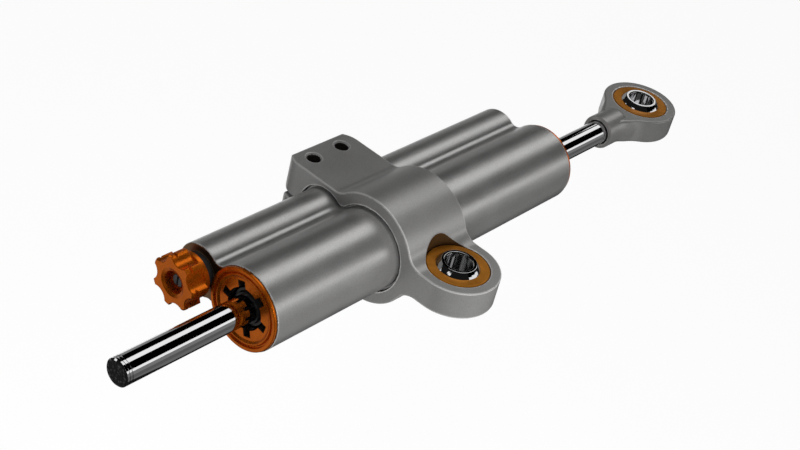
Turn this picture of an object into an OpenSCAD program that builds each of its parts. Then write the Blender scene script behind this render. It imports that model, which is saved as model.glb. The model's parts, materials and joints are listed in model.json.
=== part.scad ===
/* [Tube body] */
// Bore of the oil cylinder that the piston runs in
bore_d = 20; // [18:0.5:24]
// Wall of the main tube
tube_wall = 2.5; // [2.2:0.1:4]
// Length of the body extrusion
body_len = 131.2; // [120:1:160]
// Bore of the valve and reservoir tube
res_bore_d = 11; // [10:0.5:13]
// Wall of the reservoir tube
res_wall = 2.5; // [2:0.1:4]
// Metal left between the two bores
bore_gap = 2.5; // [2:0.1:5]
// Rise of the reservoir axis above the main axis
res_rise = 0.8; // [0:0.1:3]
// Concave radius where the two tubes meet
web_r = 3; // [1:0.5:5]
// Oil passages between the cylinder and the reservoir
port_d = 2.4; // [1.5:0.1:3]
// Distance of each oil passage from its end cap
port_inset = 3; // [2:0.5:5]
// Small chamfer round both ends of the body
body_chamfer = 0.3; // [0.1:0.1:0.6]

/* [Rod and piston] */
// Diameter of the through rod
rod_d = 8; // [7:0.5:9]
// Rod that stands out of the front cap
rod_front = 42.9; // [40:0.5:60]
// Rod that shows between the rear cap and the rod end
rod_rear = 32.5; // [28:0.5:50]
// Chamfer on the bare end of the rod
rod_chamfer = 0.5; // [0.2:0.1:1]
// Depth of the fine rings turned near the bare end
ring_mark_depth = 0.15; // [0.05:0.05:0.3]
// Full stroke of the rod
stroke = 68; // [50:1:70]
// Space left between the rod end and the rear cap at full stroke
stroke_stop = 1.6; // [1:0.1:4]
// Length of the piston
piston_len = 14; // [10:0.5:16]
// Radial gap between the piston and the bore
piston_gap = 0.4; // [0.2:0.05:0.8]
// Width of the piston ring
piston_ring_w = 4; // [3:0.5:5]
// Radial thickness of the piston ring
piston_ring_t = 1.5; // [1:0.1:2]
// Thickness of the circlips that hold the piston
circlip_t = 1; // [0.8:0.1:1.4]

/* [End caps] */
// Height of the cap flange above the end of the tube
cap_proud = 0.9; // [0.8:0.1:2.5]
// Step from the tube's outer edge in to the cap flange
cap_inset = 0.3; // [0.1:0.1:1]
// Thread step of the cap plug outside the bore
cap_step = 1; // [0.7:0.1:1.5]
// Depth of the cap plug inside the tube
cap_depth = 16.7; // [16:0.1:19]
// Radial width of the raised outer rim on the cap face
cap_rim_w = 1.2; // [0.8:0.1:2]
// Depth of the turned groove inside the rim
cap_groove_depth = 0.7; // [0.3:0.1:1]
// Radius of the spanner hole in the cap
spanner_r = 6.2; // [5.8:0.1:6.8]
// Radius that the spanner notches reach
notch_r = 8.3; // [7.5:0.1:8.8]
// Width of each spanner notch
notch_w = 2.5; // [1.5:0.1:3]
// Number of spanner notches
notch_count = 6; // [4:1:8]
// Depth of the spanner hole and notches
spanner_depth = 2.6; // [2:0.1:3]
// Thickness of the dust scraper
scraper_t = 3; // [2.5:0.1:3.5]
// Width of the rod seal
seal_w = 2.6; // [2:0.1:3]
// Wall of the guide bush
bush_wall = 1; // [0.8:0.1:1.5]

/* [Bearings] */
// Bore of the two spherical bearings
brg_bore = 8; // [6:0.5:9]
// Diameter of the bearing ball
ball_d = 15.875; // [14.5:0.125:17]
// Width of the ball over its two faces
ball_w = 12; // [11:0.5:12.5]
// Outer diameter of the bearing race
race_d = 19; // [18:0.5:24]
// Width of the race, flush with the eye
race_w = 9; // [8:0.5:10]
// Chamfer on the race and on the ball's bore
race_chamfer = 0.4; // [0.2:0.1:0.6]

/* [Clamp] */
// Metal round the lug bearing
lug_wall = 3.2; // [2.5:0.1:5]
// Metal between the lug bearing pocket and the tube
lug_web = 1.6; // [1:0.1:4]
// Relief of the pocket above and below the race
pocket_relief = 0.1; // [0.05:0.05:0.5]
// Wall of the clamp ring
clamp_wall = 4.5; // [3.5:0.1:6]
// Tube that shows ahead of the clamp
clamp_set = 47.7; // [20:1:80]
// Fillet between the ring and the lug
lug_fillet = 6; // [3:0.5:8]
// Fillet between the ring and the screw block
block_fillet = 5; // [2:0.5:7]
// Metal over and under the reservoir tube
block_wall = 2.2; // [1.5:0.1:4]
// Metal between the reservoir tube and the clamp screws
screw_land = 1.6; // [1:0.1:3]
// Distance from the clamp screws to the block's outer face
screw_edge = 4.5; // [4:0.1:8]
// Radius of the screw block's upright corners
block_corner = 7.2; // [5:0.1:9]
// How far each corner arc runs along the block's side
corner_run = 4.8; // [2:0.1:5]
// Width of the clamping slit
slit_w = 1.5; // [0.8:0.1:2.5]
// Depth of the slit's middle below the reservoir axis
slit_drop = 1.8; // [0:0.1:3]
// Edge radius along the slit's mouth
slit_edge_r = 1.5; // [0.5:0.1:2]
// Nominal thread of the clamp screws
screw_d = 5; // [4:0.5:5.5]
// Spacing of the two clamp screws
screw_pitch = 12; // [10:0.5:14]
// Length of the clamp screws under the head
screw_len = 12; // [10:1:14]

/* [Rod end] */
// Metal round the rod end's bearing
eye_wall = 3.25; // [2.5:0.05:5]
// Distance from the neck's face to the bearing's centre
neck_to_eye = 24.1; // [23:0.1:30]
// Diameter of the round neck
neck_d = 11.4; // [10:0.5:13]
// Slope of the flanks from the neck to the eye, in degrees
flank_angle = 32; // [28:1:38]
// Length of the ramp from the neck down to the eye's face
neck_ramp = 2.5; // [1:0.1:4]
// Chamfer round the neck's mouth
neck_chamfer = 0.6; // [0.3:0.1:1]
// Depth of the rod in the neck's counterbore
rod_seat = 2; // [1:0.5:3]
// Length of the thread that holds the rod end
rod_thread_len = 10; // [7:0.5:10]
// Step from the rod down to its thread
rod_thread_step = 1; // [0.7:0.1:1.3]

/* [Adjuster] */
// Diameter over the knob's lobes
knob_d = 16.1; // [15:0.1:18]
// Length of the knob
knob_len = 7.4; // [7:0.1:10]
// Number of lobes
knob_lobes = 7; // [5:1:9]
// Angle of the first lobe
knob_phase = 20; // [0:1:60]
// Radius of the scallops between the lobes
scallop_r = 3.25; // [2.5:0.05:3.6]
// Depth of the scallops
scallop_depth = 1.95; // [1:0.05:2.2]
// Length of the knob's plain collar
collar_len = 1.7; // [1:0.1:2.5]
// Step from the lobes in to the plain collar
collar_step = 1.3; // [0.8:0.1:2]
// Diameter of the recess in the knob's face
knob_hole_d = 6.6; // [5.8:0.1:7]
// Depth of the recess in the knob's face
knob_hole_depth = 3; // [2.5:0.1:3.5]
// Diameter of the adjuster stem
stem_d = 4; // [3.5:0.1:4.4]
// Thickness of the bushing flange under the knob
bush_flange_t = 2.1; // [1.2:0.1:2.5]
// Step from the reservoir's outer edge in to the bushing flange
bush_flange_step = 1; // [0.5:0.1:1.6]
// Depth of the adjuster bushing in the reservoir
bush_depth = 12; // [11:0.5:13]
// Travel of the needle each way from the middle setting
needle_travel = 0.75; // [0.3:0.05:1]
// Diameter of the needle's stem
needle_d = 3; // [2.7:0.1:3.4]
// Orifice that the needle closes
orifice_d = 2.5; // [2:0.1:2.6]
// Length of the valve seat
seat_len = 5; // [3:0.5:7]
// Diameter of the detent ball
detent_d = 1.5; // [1.3:0.1:1.6]
// Clicks in one turn of the knob
detent_count = 14; // [8:1:20]

/* [Compensator] */
// Length of the compensator piston
comp_len = 7; // [6:0.5:8]
// Wall of the compensator piston
comp_wall = 1; // [0.7:0.1:1.4]
// Length of the reservoir's rear plug
plug_len = 5; // [4.5:0.5:6]
// Wire of the compensator spring
comp_wire = 0.7; // [0.5:0.05:0.8]
// Curls of the compensator spring
comp_curls = 6; // [4:1:7]

/* [Fits] */
// Radial clearance of pieces that are screwed or pressed together
fit = 0.02; // [0.01:0.01:0.03]
// Radial clearance of pieces that run in each other
run = 0.04; // [0.02:0.01:0.08]
// Clearance of the tube in its clamp
clamp_fit = 0.05; // [0.02:0.01:0.1]
// Gap between faces that move past each other
face_gap = 0.3; // [0.15:0.05:0.5]

/* [Hidden] */

// Smoothness of the round shapes and a small overshoot for clean cuts
$fn = 96;
cut = 1;
// Overlap of arcs that would otherwise only touch where they blend
blend = 0.005;

// Radii
bore_r = bore_d / 2;
tube_r = bore_r + tube_wall;
res_bore_r = res_bore_d / 2;
res_r = res_bore_r + res_wall;
rod_r = rod_d / 2;
race_r = race_d / 2;
ball_r = ball_d / 2;
lug_r = race_r + lug_wall;
eye_r = race_r + eye_wall;
neck_r = neck_d / 2;
ring_r = tube_r + clamp_wall;
plug_r = bore_r + cap_step;
flange_r = tube_r - cap_inset;
knob_r = knob_d / 2;
stem_r = stem_d / 2;
screw_r = screw_d / 2;

// Axes of the two tubes, seen along the rod
tube_y = race_r + pocket_relief + lug_web + tube_r;
axis_gap = bore_r + bore_gap + res_bore_r;
res_dy = sqrt(axis_gap * axis_gap - res_rise * res_rise);
res_y = tube_y + res_dy;
res_tilt = atan2(res_rise, res_dy);

// Places along the rod, from the lug bearing at zero
clamp_w = 2 * lug_r;
body_x0 = -clamp_w / 2 - clamp_set;
body_x1 = body_x0 + body_len;
cap_x0 = body_x0 - cap_proud;
cap_x1 = body_x1 + cap_proud;
rod_x0 = cap_x0 - rod_front;
neck_x0 = cap_x1 + rod_rear;
eye_x = neck_x0 + neck_to_eye;
chamber_x0 = body_x0 + cap_depth;
chamber_x1 = body_x1 - cap_depth;
stroke_in = min(stroke / 2, rod_rear - stroke_stop);
piston_margin = (chamber_x1 - chamber_x0 - stroke - piston_len) / 2;
piston_x0 = chamber_x0 + piston_margin + stroke_in;
piston_x1 = piston_x0 + piston_len;
port_front_x = chamber_x0 + port_inset;
port_rear_x = chamber_x1 - port_inset;

// Stations inside a cap, counted from its outer face
cap_total = cap_proud + cap_depth;
scraper_u0 = spanner_depth;
scraper_u1 = scraper_u0 + scraper_t;
land_t = 1.1;
seal_u0 = scraper_u1 + land_t;
seal_u1 = seal_u0 + seal_w;
bush_u0 = seal_u1 + land_t;
cap_ring_u = (seal_u1 + cap_total) / 2;
seal_r = rod_r + 2;
rod_clear = 0.3;
cap_ring_gap = 1.6;
cap_ring_w = 2.2;
small_ring_gap = 1.2;
small_ring_w = 1.6;

// Clamp block, seen along the rod
block_top = res_rise + res_r + block_wall;
block_low = res_rise - res_r - block_wall;
screw_y = res_y + res_r + screw_land + screw_r;
block_y = screw_y + screw_edge;
slit_z = res_rise - slit_drop;
tap_r = 0.84 * screw_r;
head_r = 0.85 * screw_d;
head_h = screw_d;
head_seat = block_low + head_h;
screw_clear = 0.15;
bore_relief = 0.35;
edge_break = 0.4;

// Adjuster stations
flange_x0 = body_x0 - bush_flange_t;
bush_flange_r = min(res_r - bush_flange_step, axis_gap - flange_r - 0.1);
bush_x1 = body_x0 + bush_depth;
knob_x1 = flange_x0 - face_gap;
knob_x0 = knob_x1 - knob_len;
knob_floor = knob_x0 + knob_hole_depth;
guide_r = stem_r + 1.2;
guide_depth = 6;
guide_x0 = bush_x1 - guide_depth;
stem_collar_t = 0.8;
stem_collar_x1 = guide_x0 + face_gap + stem_collar_t;
drive_r = 1.4;
drive_len = 3;
drive_gap = 0.08;
drive_x1 = stem_collar_x1 + drive_len;
needle_x0 = stem_collar_x1 + needle_travel + face_gap;
socket_x1 = drive_x1 + needle_travel + face_gap;
needle_head_x1 = socket_x1 + 1.6;
needle_r = needle_d / 2;
needle_tip_r = 0.3;
needle_slope = 0.3;
orifice_r = orifice_d / 2;
orifice_gap = 0.05;
seat_land = 0.8;
seat_x0 = port_front_x + port_d / 2 + seat_land;
seat_x1 = seat_x0 + seat_len;
taper_x0 = seat_x0 - needle_travel - (needle_r - orifice_r + orifice_gap) / needle_slope;
taper_len = (needle_r - needle_tip_r) / needle_slope;
knob_screw_r = 1.2;
knob_screw_head_r = 1.9;
knob_screw_head_h = 1.1;
nose_r = stem_r - 0.05;
detent_r = detent_d / 2;
detent_reach = (guide_r + res_bore_r) / 2;
detent_x = flange_x0 - face_gap + detent_r;
detent_pocket_gap = 0.05;
detent_depth = 3.4;
stem_ring_x = body_x0 + 2.9;
bush_ring_x = bush_x1 - 2.5;

// Compensator stations
res_step = 0.5;
comp_bore_r = res_bore_r - res_step;
plug_x0 = body_x1 - plug_len;
comp_low = port_rear_x + port_d / 2 + res_step;
comp_high = plug_x0 - face_gap;
comp_x0 = (comp_low + comp_high - comp_len) / 2;
comp_floor_t = 2.6;
comp_ring_gap = 1;
comp_ring_w = 1.3;
comp_cup_r = comp_bore_r - run - comp_wall;
spring_x0 = comp_x0 + comp_floor_t;
spring_gap = 0.02;

// Turns a drawing of the end view so that it is extruded along the rod
module along_x(x) {
    translate([x, 0, 0]) rotate([0, 90, 0]) rotate([0, 0, 90]) children();
}

// The same on the main tube's axis
module on_tube(x) {
    translate([0, tube_y, 0]) along_x(x) children();
}

// The same on the reservoir's axis
module on_res(x) {
    translate([0, res_y, res_rise]) along_x(x) children();
}

// Puts a piece of the front cap at the rear, facing the other way
module at_rear() {
    translate([body_x0 + body_x1, 0, 0]) mirror([1, 0, 0]) children();
}

// A ring of rectangular section
module ring(outer, inner, length) {
    difference() {
        cylinder(r = outer, h = length);
        translate([0, 0, -cut]) cylinder(r = inner, h = length + 2 * cut);
    }
}

// An O-ring that lies between two radii
module o_ring(inner, outer) {
    section = (outer - inner) / 2 - fit;
    rotate_extrude() translate([(inner + outer) / 2, 0]) circle(r = section, $fn = 32);
}

// A solid rod with a chamfer at both ends
module chamfered_rod(r, length, c) {
    rotate_extrude()
        polygon([[0, 0], [r - c, 0], [r, c], [r, length - c], [r - c, length], [0, length]]);
}

// A wound wire: rings of six points along a helix, closed at both ends
module coil(mean_r, wire, length, curls) {
    sides = 6;
    steps = 8 * curls;
    rise = length - wire;
    points = [for (i = [0:steps]) for (j = [0:sides - 1])
        let (turn = 360 * i / 8, side = 360 * j / sides, r = mean_r + wire / 2 * cos(side))
        [r * cos(turn), r * sin(turn), wire / 2 + rise * i / steps + wire / 2 * sin(side)]];
    walls = [for (i = [0:steps - 1]) for (j = [0:sides - 1]) for (k = [0, 1])
        let (a = i * sides + j, b = i * sides + (j + 1) % sides)
        k == 0 ? [a, b, b + sides] : [a, b + sides, a + sides]];
    first = [for (j = [1:sides - 2]) [0, j + 1, j]];
    last_ring = steps * sides;
    last = [for (j = [1:sides - 2]) [last_ring, last_ring + j, last_ring + j + 1]];
    polyhedron(points = points, faces = concat(walls, first, last));
}

// The corner that a rounded edge takes away
module corner(r) {
    difference() {
        translate([-cut, -cut]) square(r + cut);
        translate([r, r]) circle(r = r);
    }
}

// End view of the body: two tubes with a concave web, made larger by grow
module body_outline(grow = 0) {
    big = tube_r + grow;
    small = res_r + grow;
    web = web_r - grow + blend;
    to_big = tube_r + web_r;
    to_small = res_r + web_r;
    web_y = (axis_gap * axis_gap + to_big * to_big - to_small * to_small) / (2 * axis_gap);
    web_z = sqrt(to_big * to_big - web_y * web_y);
    circle(r = big);
    rotate(res_tilt) {
        translate([axis_gap, 0]) circle(r = small);
        difference() {
            polygon([[0, 0], [web_y, -web_z], [axis_gap, 0], [web_y, web_z]]);
            for (side = [-1, 1])
                translate([web_y, side * web_z]) circle(r = web);
        }
    }
}

// Body: a two-tube extrusion bored for the cylinder and the reservoir
module body_housing() {
    color("#94928d") difference() {
        union() {
            on_tube(body_x0 + body_chamfer)
                linear_extrude(body_len - 2 * body_chamfer) body_outline();
            on_tube(body_x0) linear_extrude(body_len) body_outline(-body_chamfer);
        }
        on_tube(body_x0 - cut) cylinder(r = bore_r, h = body_len + 2 * cut);
        on_tube(body_x0 - cut) cylinder(r = plug_r, h = cap_depth + cut);
        on_tube(chamber_x1) cylinder(r = plug_r, h = cap_depth + cut);
        on_res(body_x0 - cut) cylinder(r = comp_bore_r, h = body_len + 2 * cut);
        on_res(body_x0 - cut) cylinder(r = res_bore_r, h = seat_x1 - body_x0 + cut);
        on_res(plug_x0) cylinder(r = res_bore_r, h = plug_len + cut);
        for (x = [port_front_x, port_rear_x])
            translate([x, tube_y, 0]) rotate([res_tilt - 90, 0, 0])
                cylinder(r = port_d / 2, h = axis_gap);
    }
}

// End cap: turned flange and threaded plug with its seats for the rod parts
module cap() {
    rim = flange_r - cap_rim_w;
    step = rim - 0.8;
    dish = step - 0.5;
    ring_at = cap_ring_u - cap_ring_w / 2;
    color("#c8641e") on_tube(cap_x0) difference() {
        rotate_extrude() polygon([
            [0, cap_groove_depth], [dish, cap_groove_depth], [step, 0.2], [rim - 0.4, 0.2],
            [rim - 0.4, cap_groove_depth], [rim, cap_groove_depth], [rim, 0],
            [flange_r - 0.4, 0], [flange_r, 0.4], [flange_r, cap_proud],
            [plug_r - fit, cap_proud], [plug_r - fit, ring_at],
            [plug_r - cap_ring_gap, ring_at], [plug_r - cap_ring_gap, ring_at + cap_ring_w],
            [plug_r - fit, ring_at + cap_ring_w], [plug_r - fit, cap_total - edge_break],
            [plug_r - fit - edge_break, cap_total], [0, cap_total]]);
        translate([0, 0, -cut]) cylinder(r = rod_r + rod_clear, h = cap_total + 2 * cut);
        translate([0, 0, -cut]) cylinder(r = spanner_r, h = scraper_u1 + cut);
        translate([0, 0, seal_u0]) cylinder(r = seal_r, h = seal_w);
        translate([0, 0, bush_u0]) cylinder(r = rod_r + bush_wall, h = cap_total);
        for (i = [0:notch_count - 1])
            rotate(10 + i * 360 / notch_count)
                translate([0, -notch_w / 2, -cut]) cube([notch_r, notch_w, spanner_depth + cut]);
    }
}

module cap_o_ring() {
    color("#1c1c1c") on_tube(cap_x0 + cap_ring_u) o_ring(plug_r - cap_ring_gap, plug_r);
}

// Dust scraper with a lip that wipes the rod
module scraper() {
    lip = 1;
    inner = rod_r + run;
    color("#232323") on_tube(cap_x0 + scraper_u0) rotate_extrude() polygon([
        [inner, -lip], [inner + 0.4, -lip], [inner + 1, 0.6], [spanner_r - 0.9, 0.6],
        [spanner_r - 0.7, 0], [spanner_r - fit, 0], [spanner_r - fit, scraper_t], [inner, scraper_t]]);
}

// Rod seal: a U-shaped ring that opens towards the oil
module rod_seal() {
    inner = rod_r + run;
    outer = seal_r - fit;
    mid = (inner + outer) / 2;
    color("#2b3a4a") on_tube(cap_x0 + seal_u0) rotate_extrude() polygon([
        [inner, 0], [outer, 0], [outer, seal_w], [outer - 0.5, seal_w],
        [mid, seal_w / 2], [inner + 0.5, seal_w], [inner, seal_w]]);
}

module guide_bush() {
    color("#a8884e") on_tube(cap_x0 + bush_u0)
        ring(rod_r + bush_wall - fit, rod_r + run, cap_total - bush_u0);
}

module front_cap() { cap(); }
module rear_cap() { at_rear() cap(); }
module front_cap_o_ring() { cap_o_ring(); }
module rear_cap_o_ring() { at_rear() cap_o_ring(); }
module front_scraper() { scraper(); }
module rear_scraper() { at_rear() scraper(); }
module front_rod_seal() { rod_seal(); }
module rear_rod_seal() { at_rear() rod_seal(); }
module front_guide_bush() { guide_bush(); }
module rear_guide_bush() { at_rear() guide_bush(); }

// Through rod: chamfered bare end, circlip grooves, thread for the rod end
circlip_groove = 0.6;
rod_thread_r = rod_r - rod_thread_step;
module piston_rod() {
    shoulder = neck_x0 + rod_seat;
    color("#c9ccd0") difference() {
        union() {
            on_tube(rod_x0) chamfered_rod(rod_r, shoulder - rod_x0, rod_chamfer);
            on_tube(shoulder - cut) chamfered_rod(rod_thread_r - fit, rod_thread_len + cut, edge_break);
        }
        for (x = [piston_x0 - circlip_t, piston_x1])
            on_tube(x) ring(rod_r + cut, rod_r - circlip_groove, circlip_t);
        for (i = [0, 1])
            on_tube(rod_x0 + rod_chamfer + 0.4 + i * 0.9)
                ring(rod_r + cut, rod_r - ring_mark_depth, 0.3);
    }
}

// Piston with one wide groove for its ring and the O-ring behind it
ring_side = 0.05;
ring_groove_w = piston_ring_w + 2 * ring_side;
ring_outer = bore_r - run;
ring_inner = ring_outer - piston_ring_t;
ring_floor = ring_inner - cap_ring_gap;
ring_groove_x = (piston_x0 + piston_x1 - ring_groove_w) / 2;
module piston() {
    color("#8d9298") difference() {
        on_tube(piston_x0) chamfered_rod(bore_r - piston_gap, piston_len, edge_break);
        on_tube(piston_x0 - cut) cylinder(r = rod_r + fit, h = piston_len + 2 * cut);
        on_tube(ring_groove_x) ring(bore_r + cut, ring_floor, ring_groove_w);
    }
}

module piston_ring() {
    color("#5a4a38") on_tube(ring_groove_x + ring_side) ring(ring_outer, ring_inner, piston_ring_w);
}

module piston_o_ring() {
    color("#1c1c1c") on_tube(ring_groove_x + ring_groove_w / 2) o_ring(ring_floor, ring_inner);
}

// Two open rings that lock the piston on the rod
module piston_circlips() {
    inner = rod_r - circlip_groove + fit;
    color("#3a3a3c") for (x = [piston_x0 - circlip_t, piston_x1])
        on_tube(x) difference() {
            ring(rod_r + 1.6, inner, circlip_t - fit);
            translate([0, -rod_r * 0.6, -cut]) cube([rod_d, rod_d * 0.6, circlip_t + 2 * cut]);
        }
}

// End view of the clamp: ring, lug slab, screw block and their fillets
module clamp_outline() {
    lug_reach = ring_r + lug_fillet;
    lug_c = race_w / 2 + lug_fillet;
    lug_y = sqrt(lug_reach * lug_reach - lug_c * lug_c);
    block_reach = ring_r + block_fillet;
    top_z = block_top + block_fillet;
    top_y = sqrt(block_reach * block_reach - top_z * top_z);
    low_z = block_fillet - block_low;
    low_y = sqrt(block_reach * block_reach - low_z * low_z);
    far = block_y - tube_y;
    difference() {
        union() {
            circle(r = ring_r);
            translate([-tube_y - lug_r, -race_w / 2]) square([tube_y + lug_r, race_w]);
            translate([0, block_low]) square([far, block_top - block_low]);
            difference() {
                polygon([[0, 0], [-lug_y, lug_c], [-lug_y, -lug_c]]);
                for (side = [-1, 1])
                    translate([-lug_y, side * lug_c]) circle(r = lug_fillet + blend);
            }
            difference() {
                polygon([[0, 0], [low_y, -low_z], [low_y, 0], [top_y, 0], [top_y, top_z]]);
                translate([top_y, top_z]) circle(r = block_fillet + blend);
                translate([low_y, -low_z]) circle(r = block_fillet + blend);
            }
        }
        translate([res_dy, slit_z - slit_w / 2]) square([far, slit_w]);
        translate([far, slit_z + slit_w / 2]) mirror([1, 0]) corner(slit_edge_r);
        translate([far, slit_z - slit_w / 2]) mirror([1, 0]) mirror([0, 1]) corner(slit_edge_r);
        translate([far, block_low]) mirror([1, 0]) corner(slit_edge_r);
    }
}

// Plan view of the clamp: round lug end and a block with arcs cut across its corners
module clamp_plan() {
    circle(r = lug_r);
    difference() {
        translate([-lug_r, 0]) square([clamp_w, block_y]);
        for (side = [0, 1]) mirror([side, 0])
            translate([-lug_r, block_y - corner_run + block_corner]) mirror([0, 1]) corner(block_corner);
    }
}

// Clamp: the plan cut from the end view, then bored for tube, bearing and screws
module clamp() {
    tall = 4 * ring_r;
    pocket_r = race_r + pocket_relief;
    color("#7f7e7b") difference() {
        intersection() {
            on_tube(-lug_r) linear_extrude(clamp_w) clamp_outline();
            translate([0, 0, -tall / 2]) linear_extrude(tall) clamp_plan();
        }
        on_tube(-lug_r - cut) linear_extrude(clamp_w + 2 * cut) body_outline(clamp_fit);
        for (x = [-lug_r - cut, lug_r - bore_relief])
            on_tube(x) linear_extrude(bore_relief + cut) body_outline(bore_relief);
        translate([0, 0, -ring_r]) cylinder(r = race_r + fit / 2, h = 2 * ring_r);
        translate([0, 0, race_w / 2]) cylinder(r = pocket_r, h = ring_r);
        mirror([0, 0, 1]) translate([0, 0, race_w / 2]) cylinder(r = pocket_r, h = ring_r);
        for (side = [-1, 1]) translate([side * screw_pitch / 2, screw_y, 0]) {
            translate([0, 0, slit_z]) cylinder(r = tap_r, h = block_top - slit_z + cut);
            translate([0, 0, block_top - edge_break])
                cylinder(r1 = tap_r, r2 = tap_r + edge_break + cut, h = edge_break + cut);
            translate([0, 0, block_low - cut])
                cylinder(r = screw_r + screw_clear, h = slit_z - block_low + cut);
            translate([0, 0, block_low - cut])
                cylinder(r = head_r + screw_clear, h = head_h + cut);
            translate([-head_r - screw_clear, 0, block_low - cut])
                cube([2 * (head_r + screw_clear), block_y, head_h + cut]);
        }
    }
}

// Socket screws that close the clamp from below
module clamp_screws() {
    tip = min(head_seat + screw_len, block_top - edge_break);
    socket_r = 0.46 * screw_d;
    color("#3c3c3e") for (side = [-1, 1])
        translate([side * screw_pitch / 2, screw_y, 0]) difference() {
            union() {
                translate([0, 0, block_low]) chamfered_rod(head_r, head_h, edge_break);
                translate([0, 0, head_seat - cut])
                    cylinder(r = screw_r - fit, h = slit_z - head_seat + cut);
                translate([0, 0, slit_z - cut]) chamfered_rod(tap_r - fit, tip - slit_z + cut, edge_break);
            }
            translate([0, 0, block_low - cut]) cylinder(r = socket_r, h = head_h / 2 + cut, $fn = 6);
        }
}

// Outer race of a spherical bearing
module race() {
    color("#b0792c") difference() {
        translate([0, 0, -race_w / 2]) chamfered_rod(race_r, race_w, race_chamfer);
        sphere(r = ball_r + run);
    }
}

// Ball of a spherical bearing with its bore along Z
module ball() {
    color("#9ea1a6") difference() {
        intersection() {
            sphere(r = ball_r);
            translate([0, 0, -ball_w / 2]) cylinder(r = ball_d, h = ball_w);
        }
        translate([0, 0, -ball_w]) cylinder(r = brg_bore / 2, h = 2 * ball_w);
        for (side = [0, 1]) mirror([0, 0, side])
            translate([0, 0, ball_w / 2 - race_chamfer])
                cylinder(r1 = brg_bore / 2, r2 = brg_bore / 2 + race_chamfer + cut, h = race_chamfer + cut);
    }
}

module lug_race() { race(); }
module lug_ball() { ball(); }
module rod_end_race() { translate([eye_x, tube_y, 0]) race(); }
module rod_end_ball() { translate([eye_x, tube_y, 0]) ball(); }

// Rod end: a flat eye whose straight flanks run into a round, tapped neck
module rod_end() {
    half = race_w / 2;
    touch_x = -eye_r * sin(flank_angle);
    touch_y = eye_r * cos(flank_angle);
    nose_y = neck_r - 0.9;
    nose_x = touch_x - (touch_y - nose_y) / tan(flank_angle);
    round_edge = 0.5;
    color("#83827f") difference() {
        union() {
            translate([eye_x, tube_y, -half]) {
                chamfered_rod(eye_r, race_w, round_edge);
                linear_extrude(race_w) polygon([
                    [touch_x, touch_y], [nose_x, nose_y], [nose_x, -nose_y], [touch_x, -touch_y],
                    [0, -race_r], [0, race_r]]);
            }
            intersection() {
                on_tube(neck_x0) chamfered_rod(neck_r, neck_to_eye - race_r, neck_chamfer);
                translate([eye_x, tube_y + neck_r, 0]) rotate([90, 0, 0]) linear_extrude(neck_d)
                    polygon([
                        [-neck_to_eye, neck_r], [nose_x - neck_ramp, neck_r], [nose_x, half],
                        [0, half], [0, -half], [nose_x, -half],
                        [nose_x - neck_ramp, -neck_r], [-neck_to_eye, -neck_r]]);
            }
        }
        translate([eye_x, tube_y, -neck_r]) cylinder(r = race_r + fit / 2, h = neck_d);
        on_tube(neck_x0 - cut) cylinder(r = rod_r + 0.2, h = rod_seat + cut);
        on_tube(neck_x0) cylinder(r = rod_thread_r, h = rod_seat + rod_thread_len + edge_break);
    }
}

// Adjuster knob: scalloped grip, V-groove near its face and a plain collar
module adjuster_knob() {
    collar_r = knob_r - collar_step;
    grip_len = knob_len - collar_len;
    face_len = 1.3;
    groove = 0.6;
    scallop_run = 0.2;
    scallop_at = knob_r - scallop_depth + scallop_r;
    color("#cc661c") on_res(knob_x0) difference() {
        rotate_extrude() polygon([
            [0, 0.5], [knob_hole_d / 2, 0.5], [knob_hole_d / 2 + 1.2, 0], [knob_r - 0.5, 0], [knob_r, 0.5],
            [knob_r, face_len], [knob_r - groove, face_len + groove / 2],
            [knob_r, face_len + groove], [knob_r, grip_len], [collar_r, grip_len],
            [collar_r, knob_len - 0.4], [collar_r - 0.4, knob_len], [0, knob_len]]);
        for (i = [0:knob_lobes - 1])
            rotate(knob_phase + (i + 0.5) * 360 / knob_lobes)
                translate([scallop_at, 0, -cut]) cylinder(r = scallop_r, h = grip_len + scallop_run + cut);
        translate([0, 0, -cut]) cylinder(r = knob_hole_d / 2, h = knob_hole_depth + cut);
        cylinder(r = nose_r + fit, h = knob_len + cut, $fn = 6);
        for (i = [0:detent_count - 1])
            rotate(i * 360 / detent_count)
                translate([detent_reach, 0, detent_x - knob_x0]) sphere(r = detent_r + 0.1, $fn = 32);
    }
}

// Slotted screw that holds the knob on its stem
module knob_screw() {
    slot = 0.7;
    color("#55565a") difference() {
        union() {
            on_res(knob_floor - knob_screw_head_h)
                chamfered_rod(knob_screw_head_r, knob_screw_head_h, edge_break / 2);
            on_res(knob_floor - edge_break) cylinder(r = knob_screw_r - fit, h = knob_len);
        }
        on_res(knob_floor - knob_screw_head_h - cut)
            translate([-slot / 2, -knob_screw_head_r - cut, 0])
                cube([slot, 2 * (knob_screw_head_r + cut), slot + cut]);
    }
}

// Stem: hexagon nose in the knob, collar behind the bushing, hexagon drive
module adjuster_stem() {
    nose_len = knob_x1 - knob_floor;
    color("#b7bac0") difference() {
        union() {
            on_res(knob_floor + face_gap) cylinder(r = nose_r, h = nose_len, $fn = 6);
            on_res(knob_x1) cylinder(r = stem_r, h = stem_collar_x1 - knob_x1);
            on_res(stem_collar_x1 - stem_collar_t)
                chamfered_rod(guide_r - face_gap, stem_collar_t, edge_break / 2);
            on_res(stem_collar_x1 - cut) cylinder(r = drive_r, h = drive_len + cut, $fn = 6);
        }
        on_res(knob_floor) cylinder(r = knob_screw_r, h = knob_len);
    }
}

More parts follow.
